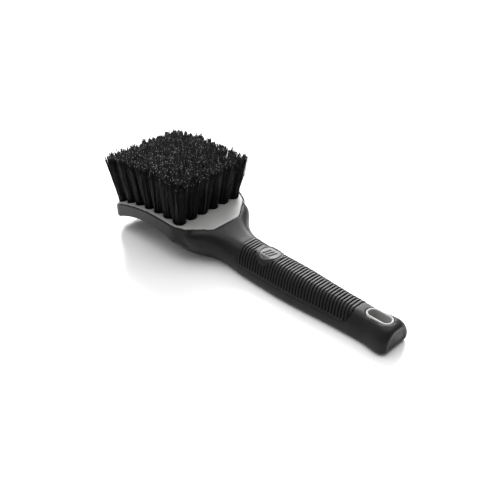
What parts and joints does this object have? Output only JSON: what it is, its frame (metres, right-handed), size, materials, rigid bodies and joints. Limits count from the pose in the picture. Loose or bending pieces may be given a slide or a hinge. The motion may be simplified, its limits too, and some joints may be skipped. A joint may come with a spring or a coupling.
{
  "type": "wheel brush",
  "caption": "Short-handled wheel-washing brush: arched head with a block of stiff filament tufts, soft-covered handle with a ribbed grip and a hanging hole.",
  "frame": {"origin": "on the resting plane, half-way along the overmoulded body, on the brush's plane of symmetry", "axes": "+X from the tip of the head towards the butt of the handle, +Z the way the bristles point, Y across the brush"},
  "size_m": [0.2677, 0.0752, 0.0695],
  "materials": {
    "core_grey": "fine satin moulded plastic",
    "soft_black": "satin soft-touch elastomer",
    "grip_black": "satin soft-touch elastomer, ribbed",
    "badge_black": "glossy moulded badge",
    "bristle_black": "crimped filaments with trimmed tips",
    "staple_metal": "drawn flat wire"
  },
  "bodies": {
    "root": {"core_frame": "core_grey", "soft_cover": "soft_black", "ribbed_grip": "grip_black", "grip_badge": "badge_black", "tuft_anchors": "staple_metal", "tuft_1_1": "bristle_black", "tuft_1_2": "bristle_black", "tuft_1_3": "bristle_black", "tuft_1_4": "bristle_black", "tuft_1_5": "bristle_black", "tuft_1_6": "bristle_black", "tuft_2_1": "bristle_black", "tuft_2_2": "bristle_black", "tuft_2_3": "bristle_black", "tuft_2_4": "bristle_black", "tuft_2_5": "bristle_black", "tuft_2_6": "bristle_black", "tuft_3_1": "bristle_black", "tuft_3_2": "bristle_black", "tuft_3_3": "bristle_black", "tuft_3_4": "bristle_black", "tuft_3_5": "bristle_black", "tuft_3_6": "bristle_black", "tuft_4_1": "bristle_black", "tuft_4_2": "bristle_black", "tuft_4_3": "bristle_black", "tuft_4_4": "bristle_black", "tuft_4_5": "bristle_black", "tuft_4_6": "bristle_black", "tuft_5_1": "bristle_black", "tuft_5_2": "bristle_black", "tuft_5_3": "bristle_black", "tuft_5_4": "bristle_black", "tuft_5_5": "bristle_black", "tuft_5_6": "bristle_black", "tuft_6_1": "bristle_black", "tuft_6_2": "bristle_black", "tuft_6_3": "bristle_black", "tuft_6_4": "bristle_black", "tuft_6_5": "bristle_black", "tuft_6_6": "bristle_black", "tuft_7_1": "bristle_black", "tuft_7_2": "bristle_black", "tuft_7_3": "bristle_black", "tuft_7_4": "bristle_black", "tuft_7_5": "bristle_black", "tuft_7_6": "bristle_black"}
  },
  "joints": []
}
